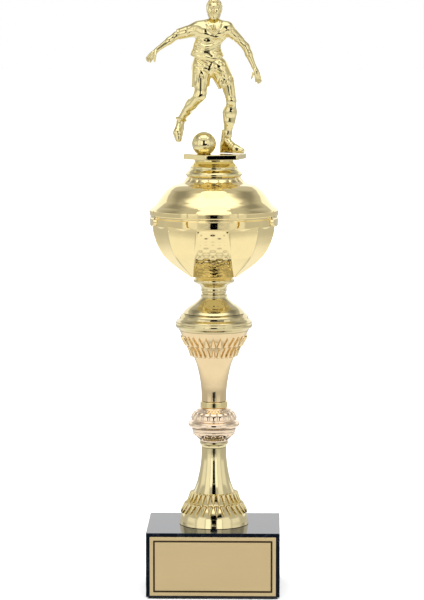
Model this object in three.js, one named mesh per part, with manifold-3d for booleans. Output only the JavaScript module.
// Figure trophy: a polished stone base with an engraving plate, a column of turned and plated
// plastic pieces clamped on one threaded rod, a lidded twelve-sided cup, and a football player
// that screws down on the end of the rod. Millimetres, +Z up, the front of the trophy faces -Y.
// The origin is the centre of the felt on the underside.
import * as THREE from "three";
import { mergeVertices } from "three/addons/utils/BufferGeometryUtils.js";
import Module from "manifold-3d";

const wasm = await Module();
wasm.setup();

// ---------------------------------------------------------------- driving dimensions

const GAP = 0.3; // seam between two pieces that touch
const GLUE_GAP = 0.1; // the same, behind the engraving plate
const SIDES = 28; // facets round a turned piece
const CUP_SIDES = 12; // flat panels round the cup, four broad ones and two between each pair

const BASE_WIDTH = 101.6; // a four inch block
const BASE_DEPTH = 84;
const BASE_TOP = 50.8; // height of the block's top over the table
const BASE_BEVEL = 0.8;
const FELT_THICKNESS = 1.2;
const FELT_MARGIN = 2;
const RECESS_RADIUS = 13; // pocket under the block for the rod's nut
const RECESS_DEPTH = 12;

const PLATE_WIDTH = 95.8;
const PLATE_HEIGHT = 45.2;
const PLATE_THICKNESS = 0.8;
const PLATE_CENTRE_Z = 25.4;
const TAPE_THICKNESS = 0.3;
const TAPE_MARGIN = 3;

const ROD_RADIUS = 3.175; // 1/4 inch rod, 20 threads to the inch
const ROD_HOLE = 3.6; // plain clearance hole for the rod
const NUT_ACROSS_FLATS = 11.1;
const NUT_HEIGHT = 5.6;
const WASHER_RADIUS = 9;
const WASHER_THICKNESS = 1.2;
const INSERT_RADIUS = 5.2;
const INSERT_LENGTH = 8.5;
const BOSS_RADIUS = 8;
const BOSS_LENGTH = 9.5;

// The clamped column from the block upwards: each piece's own height.
const COLUMN = {
  lower_riser: 59.4,
  lower_collar: 4.2,
  knop_lower: 10.2,
  knop_upper: 15.3,
  spacer_ring: 4.8,
  upper_riser: 54.6,
  riser_cap: 12.8,
  cup_foot: 28.3,
  cup_bowl: 46.5,
  cup_lid: 28.7,
  figure_riser: 13.3,
  figure_plinth: 4.0,
};

const PLINTH_RADIUS = 24.8; // across the corners of the six-sided plinth, halved
const PLINTH_TURN = -15; // degrees from the front to its first corner, towards +X
const PLINTH_OFFSET = 0.8;
const BALL_RADIUS = 9.2;
const BALL_AT = [-7.5, -6, 7.8]; // over the plinth's top
const PANEL_LOW_HALF = 15.2; // half a broad panel's width at the cup's foot and under its band
const PANEL_TOP_HALF = 11.7;
const BAND_RADIUS = 46.5;
const BAND_PLATE_RADIUS = 49.1;
const BAND_HEIGHT = 7.2;
const LID_SEAT_RADIUS = 44.4; // round step inside the rim that the lid's spigot drops into
const BAND_PLATE_HALF_ANGLE = 22.5;

// ---------------------------------------------------------------- materials

function plating(color, roughness) {
  return new THREE.MeshStandardMaterial({ color, roughness, metalness: 1 });
}

const MATERIALS = {
  stone: new THREE.MeshStandardMaterial({ color: 0x0b0c14, roughness: 0.08, metalness: 0 }),
  felt: new THREE.MeshStandardMaterial({ color: 0x14181a, roughness: 0.95, metalness: 0 }),
  tape: new THREE.MeshStandardMaterial({ color: 0xe8e4d8, roughness: 0.7, metalness: 0 }),
  satin_gold: plating(0xc8b282, 0.35),
  steel: plating(0xb4b6b8, 0.35),
  brass: plating(0xc9a860, 0.3),
  pale_gold: plating(0xcfc48e, 0.12),
  rose_gold: plating(0xe0cbb4, 0.15),
  yellow_gold: plating(0xdfc070, 0.1),
  peach_gold: plating(0xdcc49a, 0.14),
  green_gold: plating(0xc4bb80, 0.12),
};

// ---------------------------------------------------------------- geometry helpers

/** A closed mesh as a solid that can be cut and joined. */
function toSolid(geometry) {
  const plain = geometry.clone();
  plain.deleteAttribute("normal");
  plain.deleteAttribute("uv");
  const merged = mergeVertices(plain, 1e-4);
  return new wasm.Manifold(
    new wasm.Mesh({
      numProp: 3,
      vertProperties: merged.attributes.position.array,
      triVerts: new Uint32Array(merged.index.array),
    }),
  );
}

function toGeometry(solid) {
  const mesh = solid.getMesh();
  return new THREE.BufferGeometry()
    .setAttribute("position", new THREE.BufferAttribute(mesh.vertProperties, 3))
    .setIndex(new THREE.BufferAttribute(mesh.triVerts, 1));
}

/** The union of many geometries. */
function join(geometries) {
  return geometries.map(toSolid).reduce((all, solid) => all.add(solid));
}

/** Turns [radius, height] points about +Z. The outline runs up the outside and back down inside. */
function turned(outline, sides = SIDES, phiStart = 0) {
  const points = outline.map(([radius, height]) => new THREE.Vector2(radius, height));
  return new THREE.LatheGeometry(points, sides, phiStart).rotateX(Math.PI / 2);
}

/** A turned shell: its outside from the bottom up, then its inside from the top down. */
function shell(outside, inside) {
  return turned([...outside, ...inside, outside[0]]);
}

/** A ring with a plain hole for the rod. */
function ring(outside) {
  const height = outside[outside.length - 1][1];
  return shell(outside, [[ROD_HOLE, height], [ROD_HOLE, 0]]);
}

function rodLike(radius, bottom, top, sides = SIDES) {
  return turned([[0, bottom], [radius, bottom], [radius, top], [0, top]], sides);
}

function polygon(radius, corners, turn = 0) {
  const shape = new THREE.Shape();
  for (let i = 0; i < corners; i++) {
    const angle = THREE.MathUtils.degToRad(turn + (360 * i) / corners);
    const x = radius * Math.sin(angle);
    const y = -radius * Math.cos(angle);
    if (i === 0) shape.moveTo(x, y);
    else shape.lineTo(x, y);
  }
  return shape.closePath();
}

function extruded(shape, depth) {
  return new THREE.ExtrudeGeometry(shape, { depth, bevelEnabled: false, curveSegments: 6 });
}

/** A round-ended tapered limb between two points. */
function limb(from, to, startRadius, endRadius, sides = 8) {
  const start = new THREE.Vector3(...from);
  const end = new THREE.Vector3(...to);
  const length = start.distanceTo(end);
  const steps = 2;
  const outline = [];
  for (let i = 0; i <= steps; i++) {
    const angle = ((i / steps) * Math.PI) / 2;
    outline.push([startRadius * Math.sin(angle), -startRadius * Math.cos(angle)]);
  }
  for (let i = steps; i >= 0; i--) {
    const angle = ((i / steps) * Math.PI) / 2;
    outline.push([endRadius * Math.sin(angle), length + endRadius * Math.cos(angle)]);
  }
  const direction = end.sub(start).normalize();
  const turn = new THREE.Quaternion().setFromUnitVectors(new THREE.Vector3(0, 0, 1), direction);
  return turned(outline, sides).applyQuaternion(turn).translate(...from);
}

function egg(centre, radii, sides = 12) {
  return new THREE.SphereGeometry(1, sides, 8)
    .rotateX(Math.PI / 2)
    .scale(...radii)
    .translate(...centre);
}

// ---------------------------------------------------------------- stone base and its plate

function stoneBase() {
  const height = BASE_TOP - FELT_THICKNESS - GAP;
  const inset = BASE_BEVEL;
  const outline = new THREE.Shape();
  outline.moveTo(-BASE_WIDTH / 2 + inset, -BASE_DEPTH / 2 + inset);
  outline.lineTo(BASE_WIDTH / 2 - inset, -BASE_DEPTH / 2 + inset);
  outline.lineTo(BASE_WIDTH / 2 - inset, BASE_DEPTH / 2 - inset);
  outline.lineTo(-BASE_WIDTH / 2 + inset, BASE_DEPTH / 2 - inset);
  outline.closePath();
  const block = new THREE.ExtrudeGeometry(outline, {
    depth: height - 2 * inset,
    bevelEnabled: true,
    bevelSize: inset,
    bevelThickness: inset,
    bevelSegments: 1,
  }).translate(0, 0, inset);
  const hole = rodLike(ROD_HOLE, -1, height + 1, 20);
  const recess = rodLike(RECESS_RADIUS, -1, RECESS_DEPTH, 24);
  return toGeometry(toSolid(block).subtract(toSolid(hole)).subtract(toSolid(recess)));
}

const felt = () =>
  new THREE.BoxGeometry(
    BASE_WIDTH - 2 * FELT_MARGIN,
    BASE_DEPTH - 2 * FELT_MARGIN,
    FELT_THICKNESS,
  ).translate(0, 0, FELT_THICKNESS / 2);

const tape = () =>
  new THREE.BoxGeometry(
    PLATE_WIDTH - 2 * TAPE_MARGIN,
    TAPE_THICKNESS,
    PLATE_HEIGHT - 2 * TAPE_MARGIN,
  );

const plate = () => new THREE.BoxGeometry(PLATE_WIDTH, PLATE_THICKNESS, PLATE_HEIGHT);

// ---------------------------------------------------------------- fasteners

const washer = () => ring([[WASHER_RADIUS, 0], [WASHER_RADIUS, WASHER_THICKNESS]]);

function nut() {
  const shape = polygon(NUT_ACROSS_FLATS / 2 / Math.cos(Math.PI / 6), 6);
  shape.holes.push(new THREE.Path().absarc(0, 0, ROD_HOLE, 0, 2 * Math.PI, true));
  return extruded(shape, NUT_HEIGHT);
}

// The insert is a turned piece with a waist, which the plastic of the plinth's boss grips.
function threadedInsert() {
  const waist = INSERT_RADIUS - 0.6;
  const outside = [
    [INSERT_RADIUS, 0],
    [INSERT_RADIUS, 3],
    [waist, 3.4],
    [waist, 5.1],
    [INSERT_RADIUS, 5.5],
    [INSERT_RADIUS, INSERT_LENGTH],
  ];
  return ring(outside);
}

// ---------------------------------------------------------------- the column

/** The bell-shaped riser, narrow end at the top. Two ledges carry its rows of petals. */
function riser(height) {
  const fromTop = [
    [9.6, 0],
    [9.7, 6],
    [10.3, 12.5],
    [11.3, 19],
    [13.2, 26.5],
    [15.7, 33.5],
    [16.5, 34.6],
    [19.3, 36.6],
    [20.7, 39],
    [22.1, 42.6],
    [24.4, 45],
    [26.1, 50],
    [26.6, height],
  ];
  const outside = fromTop.map(([radius, down]) => [radius, height - down]).reverse();
  const inside = [
    [ROD_HOLE, height],
    [ROD_HOLE, height - 2.5],
    [7.8, height - 2.5],
    [9.3, height - 19],
    [13.6, height - 34],
    [19.4, height - 43],
    [24.4, height - 51],
    [24.8, 0],
  ];
  return shell(outside, inside);
}

const lowerCollar = () => ring([[9.7, 0], [10.3, 1.6], [10.84, 2.6], [10.84, 4.2]]);

const spacerRing = () => ring([[10, 0], [10.5, 1.1], [10.5, 3.7], [10, 4.8]]);

const knopLower = () =>
  shell(
    [[10.8, 0], [11.2, 1.9], [13, 3.5], [14.8, 5], [16, 6.6], [16.6, 8.2], [17, 10.2]],
    [[15.2, 10.2], [14.2, 6.6], [11.4, 4], [9, 2.2], [ROD_HOLE, 2.2], [ROD_HOLE, 0]],
  );

const knopUpper = () =>
  shell(
    [
      [17.2, 0],
      [18.9, 1],
      [19.7, 2.9],
      [19, 4.8],
      [17, 6.8],
      [16.4, 9],
      [15.1, 11.7],
      [12, 14],
      [10.85, 15.3],
    ],
    [[ROD_HOLE, 15.3], [ROD_HOLE, 13.1], [9, 13.1], [12.8, 10.6], [14.8, 6], [15.2, 0]],
  );

const riserCap = () =>
  shell(
    [
      [27.1, 0],
      [28.9, 2],
      [29.5, 3.4],
      [29.5, 4.6],
      [29.1, 6.8],
      [26.4, 9.1],
      [25.6, 11.6],
      [24.3, 12.8],
    ],
    [[ROD_HOLE, 12.8], [ROD_HOLE, 10.8], [22.4, 10.8], [25.2, 7.6], [25.4, 0]],
  );

const cupFoot = () =>
  shell(
    [
      [23.4, 0],
      [22.2, 1.9],
      [20.6, 3.6],
      [17.6, 5.9],
      [14.6, 7.6],
      [12, 9.8],
      [10, 12.2],
      [9.4, 15.8],
      [9.8, 18.4],
      [10.8, 21.2],
      [14.7, 23.5],
      [15.7, 25],
      [15.2, 26.8],
      [13.6, 28.3],
    ],
    [[ROD_HOLE, 28.3], [ROD_HOLE, 25.8], [8, 25.8], [8, 12], [15, 5], [21.4, 0]],
  );

/**
 * A closed solid with the cup's plan. Each level is [flat, half, z]: how far the four broad panels
 * stand from the axis, half their width, and the height. Two narrow panels fill each corner.
 */
function panelled(levels) {
  const positions = [];
  for (const [flat, half, z] of levels) {
    const corner = Math.hypot(flat, half);
    const turn = Math.atan2(half, flat);
    for (let quarter = 0; quarter < 4; quarter++) {
      const middle = (quarter * Math.PI) / 2;
      for (const angle of [middle - turn, middle + turn, middle + Math.PI / 4]) {
        positions.push(corner * Math.sin(angle), -corner * Math.cos(angle), z);
      }
    }
  }
  const last = (levels.length - 1) * CUP_SIDES;
  const indices = [];
  for (let side = 0; side < CUP_SIDES; side++) {
    const next = (side + 1) % CUP_SIDES;
    for (let row = 0; row < last; row += CUP_SIDES) {
      const above = row + CUP_SIDES;
      indices.push(row + side, row + next, above + next);
      indices.push(row + side, above + next, above + side);
    }
  }
  for (let side = 1; side < CUP_SIDES - 1; side++) {
    indices.push(0, side + 1, side);
    indices.push(last, last + side, last + side + 1);
  }
  return new THREE.BufferGeometry()
    .setAttribute("position", new THREE.Float32BufferAttribute(positions, 3))
    .setIndex(indices);
}

function cupBowl() {
  const height = COLUMN.cup_bowl;
  const bandBottom = height - BAND_HEIGHT;
  const panelHalf = (z) => PANEL_LOW_HALF + (PANEL_TOP_HALF - PANEL_LOW_HALF) * (z / bandBottom);
  const levels = (side) => side.map(([flat, z]) => [flat, Math.min(panelHalf(z), flat * 0.93), z]);
  const body = panelled(
    levels([
      [13.6, 0],
      [17.5, 0.6],
      [25, 5.6],
      [29.3, 8.7],
      [33, 11.8],
      [36.1, 14.8],
      [38.5, 17.9],
      [41.3, 22.5],
      [43.6, 27.1],
      [45.3, 33.2],
      [46, bandBottom],
      [44, bandBottom + 3],
    ]),
  );
  const band = rodLike(BAND_RADIUS, bandBottom, height, 36);
  const plates = [];
  const half = THREE.MathUtils.degToRad(BAND_PLATE_HALF_ANGLE);
  for (let i = 0; i < 4; i++) {
    const middle = (i * Math.PI) / 2;
    const shape = new THREE.Shape();
    shape.absarc(0, 0, BAND_PLATE_RADIUS, middle - half, middle + half, false);
    shape.absarc(0, 0, BAND_RADIUS - 1, middle + half, middle - half, true);
    shape.closePath();
    plates.push(extruded(shape, BAND_HEIGHT - 0.6).translate(0, 0, bandBottom - 0.2));
  }
  const hollow = panelled(
    levels([
      [9, 2.2],
      [17, 4],
      [26.5, 9.5],
      [33.8, 15],
      [38.8, 21],
      [41.4, 27.5],
      [43.2, bandBottom - 3],
      [43.2, height + 1],
    ]),
  );
  const seatForLid = rodLike(LID_SEAT_RADIUS, height - 3.2, height + 1, 36);
  const rodHole = rodLike(ROD_HOLE, -1, 4, 16);
  return toGeometry(join([body, band, ...plates]).subtract(join([hollow, seatForLid, rodHole])));
}

const cupLid = () =>
  turned([
    [43.5, -2.4],
    [43.5, 0],
    [49.2, 0],
    [49.2, 3],
    [48.5, 4.8],
    [46.2, 6.4],
    [43.5, 9.4],
    [41.3, 12.4],
    [38, 17],
    [34.9, 20.1],
    [31.4, 22.4],
    [29.6, 23.2],
    [25.2, 23.9],
    [23.6, 24.8],
    [21.8, 26.9],
    [20.7, 28.7],
    [ROD_HOLE, 28.7],
    [ROD_HOLE, 26.7],
    [20.2, 24.2],
    [30.2, 20.8],
    [36, 16.2],
    [41.6, 8.4],
    [42, 2],
    [42, -2.4],
    [43.5, -2.4],
  ]);

const figureRiser = () =>
  shell(
    [
      [20.5, 0],
      [21.5, 1.6],
      [21.3, 3],
      [19.4, 4.8],
      [18.1, 6.4],
      [17.8, 7.5],
      [16.3, 9.6],
      [15, 11.2],
      [14.6, 13.3],
    ],
    [[8.7, 13.3], [8.7, 2], [ROD_HOLE, 2], [ROD_HOLE, 0]],
  );

/** The six-sided plate under the player, with the boss that holds the threaded insert. */
function figurePlinth() {
  const top = COLUMN.figure_plinth;
  const slab = extruded(polygon(PLINTH_RADIUS, 6, PLINTH_TURN), top).translate(PLINTH_OFFSET, 0, 0);
  const boss = rodLike(BOSS_RADIUS, -BOSS_LENGTH, 1, 24);
  const bore = rodLike(INSERT_RADIUS + 0.4, -BOSS_LENGTH - 1, -0.3, 24);
  return toGeometry(join([slab, boss]).subtract(toSolid(bore)));
}

// ---------------------------------------------------------------- the ball and the player

function ball() {
  const sphere = new THREE.SphereGeometry(BALL_RADIUS, 18, 12).rotateX(Math.PI / 2);
  const below = new THREE.BoxGeometry(30, 30, 10).translate(0, 0, GAP - BALL_AT[2] - 5);
  return toGeometry(toSolid(sphere).subtract(toSolid(below)));
}

// Joints of the player, over the top of the plinth. Left and right are the viewer's.
const BODY = {
  head: [0, 0.2, 109],
  chin: [0.2, -3.4, 103.6],
  neck: [-0.3, 1, 98.4],
  chest: [-1.6, 0.3, 88.5],
  belly: [-5, 0, 77],
  pelvis: [-4.2, 0.6, 66.5],
  leftShoulder: [-10.6, 0.6, 95],
  leftElbow: [-29.3, 2, 87.9],
  leftWrist: [-42.9, -1, 78.8],
  leftFingers: [-49.4, -3, 71.2],
  leftThumb: [-44.9, -5, 70.6],
  rightShoulder: [10, 0.6, 94.4],
  rightElbow: [23.6, 3, 81.5],
  rightWrist: [30.8, -1, 64.8],
  rightFingers: [34.3, -3.4, 55],
  rightThumb: [29, -4.6, 56.6],
  leftHip: [-8, 0, 64.6],
  leftHem: [-9.4, -4.6, 53],
  leftKnee: [-9.8, -8.6, 43.6],
  leftCalf: [-16, -1.6, 36.6],
  leftAnkle: [-23.6, 8, 26],
  leftToe: [-26.2, 2.4, 11],
  rightHip: [1.6, 0, 64.6],
  rightHem: [8.6, -1.6, 50.4],
  rightKnee: [12.8, -2.4, 38],
  rightCalf: [11.6, 0.6, 29],
  rightAnkle: [9.8, 2, 9.4],
  rightHeel: [7.6, 2.6, 4.6],
  rightToe: [20, -1, 2],
  finTop: [6.6, 4, 15],
  finFoot: [5.8, 4.6, 0.6],
};

function player() {
  const at = BODY;
  const pieces = [
    egg(at.head, [6, 6.9, 8]),
    limb(at.head, at.chin, 4.8, 2.6),
    limb(at.head, at.neck, 3.6, 4),
    egg(at.chest, [11, 6.8, 10]),
    egg(at.belly, [10.6, 6.6, 10]),
    egg(at.pelvis, [10.6, 7, 9.4]),
    limb(at.leftShoulder, at.rightShoulder, 5, 5),
    limb(at.leftShoulder, at.leftElbow, 5, 3.6),
    limb(at.leftElbow, at.leftWrist, 3.3, 1.9),
    limb(at.leftWrist, at.leftFingers, 2.2, 1.6),
    limb(at.leftWrist, at.leftThumb, 1.6, 0.9, 6),
    limb(at.rightShoulder, at.rightElbow, 5, 3.4),
    limb(at.rightElbow, at.rightWrist, 3.2, 1.9),
    limb(at.rightWrist, at.rightFingers, 2.2, 1.6),
    limb(at.rightWrist, at.rightThumb, 1.6, 0.9, 6),
    limb(at.leftHip, at.leftHem, 7, 6.6),
    limb(at.leftHem, at.leftKnee, 5.2, 4.3),
    limb(at.leftKnee, at.leftCalf, 4.1, 4),
    limb(at.leftCalf, at.leftAnkle, 4, 2.7),
    limb(at.leftAnkle, at.leftToe, 3.5, 2.9),
    limb(at.rightHip, at.rightHem, 7, 6.9),
    limb(at.rightHem, at.rightKnee, 5.2, 4),
    limb(at.rightKnee, at.rightCalf, 3.8, 4.9),
    limb(at.rightCalf, at.rightAnkle, 4.7, 2.7),
    limb(at.rightAnkle, at.rightHeel, 2.8, 2.6),
    limb(at.rightHeel, at.rightToe, 2.6, 2.1),
    limb(at.finTop, at.finFoot, 1.6, 1.8, 6),
  ];
  const floor = new THREE.BoxGeometry(80, 80, 10).translate(0, 0, GAP - 5);
  return toGeometry(join(pieces).subtract(toSolid(floor)));
}

// ---------------------------------------------------------------- assembly

const trophy = new THREE.Group();

function place(parent, name, geometry, material, x = 0, y = 0, z = 0) {
  const mesh = new THREE.Mesh(geometry, MATERIALS[material].clone());
  mesh.name = name;
  mesh.position.set(x, y, z);
  parent.add(mesh);
}

// Height of each clamped piece's lower end.
const seat = {};
let level = BASE_TOP;
for (const [name, height] of Object.entries(COLUMN)) {
  seat[name] = level + GAP;
  level = seat[name] + height;
}

const stoneBottom = FELT_THICKNESS + GAP;
const tapeY = -BASE_DEPTH / 2 - GLUE_GAP - TAPE_THICKNESS / 2;
const plateY = tapeY - TAPE_THICKNESS / 2 - GLUE_GAP - PLATE_THICKNESS / 2;

const base = new THREE.Group();
place(base, "base_felt", felt(), "felt");
place(base, "stone_base", stoneBase(), "stone", 0, 0, stoneBottom);
place(base, "plate_tape", tape(), "tape", 0, tapeY, PLATE_CENTRE_Z);
place(base, "engraving_plate", plate(), "satin_gold", 0, plateY, PLATE_CENTRE_Z);
trophy.add(base);

const bottomWasherZ = stoneBottom + RECESS_DEPTH - GAP - WASHER_THICKNESS;
const bottomNutZ = bottomWasherZ - GAP - NUT_HEIGHT;
const rodBottom = stoneBottom + 1.5;
const rodTop = seat.figure_plinth - 1.2;
const cupWasherZ = seat.cup_bowl + 2.2 + GAP;
const cupNutZ = cupWasherZ + WASHER_THICKNESS + GAP;

const fasteners = new THREE.Group();
place(fasteners, "threaded_rod", rodLike(ROD_RADIUS, 0, rodTop - rodBottom, 16), "steel", 0, 0, rodBottom);
place(fasteners, "bottom_washer", washer(), "steel", 0, 0, bottomWasherZ);
place(fasteners, "bottom_nut", nut(), "steel", 0, 0, bottomNutZ);
place(fasteners, "cup_washer", washer(), "steel", 0, 0, cupWasherZ);
place(fasteners, "cup_nut", nut(), "steel", 0, 0, cupNutZ);
trophy.add(fasteners);

const column = new THREE.Group();
const upperRiser = riser(COLUMN.upper_riser)
  .rotateX(Math.PI)
  .translate(0, 0, COLUMN.upper_riser);
place(column, "lower_riser", riser(COLUMN.lower_riser), "pale_gold", 0, 0, seat.lower_riser);
place(column, "lower_collar", lowerCollar(), "pale_gold", 0, 0, seat.lower_collar);
place(column, "knop_lower", knopLower(), "rose_gold", 0, 0, seat.knop_lower);
place(column, "knop_upper", knopUpper(), "rose_gold", 0, 0, seat.knop_upper);
place(column, "spacer_ring", spacerRing(), "yellow_gold", 0, 0, seat.spacer_ring);
place(column, "upper_riser", upperRiser, "peach_gold", 0, 0, seat.upper_riser);
place(column, "riser_cap", riserCap(), "green_gold", 0, 0, seat.riser_cap);
place(column, "cup_foot", cupFoot(), "green_gold", 0, 0, seat.cup_foot);
place(column, "cup_bowl", cupBowl(), "yellow_gold", 0, 0, seat.cup_bowl);
place(column, "cup_lid", cupLid(), "yellow_gold", 0, 0, seat.cup_lid);
place(column, "figure_riser", figureRiser(), "green_gold", 0, 0, seat.figure_riser);
trophy.add(column);

const figure = new THREE.Group();
figure.position.z = seat.figure_plinth;
place(figure, "figure_plinth", figurePlinth(), "green_gold");
place(figure, "figure_insert", threadedInsert(), "brass", 0, 0, GAP - BOSS_LENGTH);
const onPlinth = new THREE.Group();
onPlinth.position.z = COLUMN.figure_plinth;
place(onPlinth, "soccer_ball", ball(), "green_gold", ...BALL_AT);
place(onPlinth, "player_figure", player(), "green_gold");
figure.add(onPlinth);
trophy.add(figure);

export default trophy;
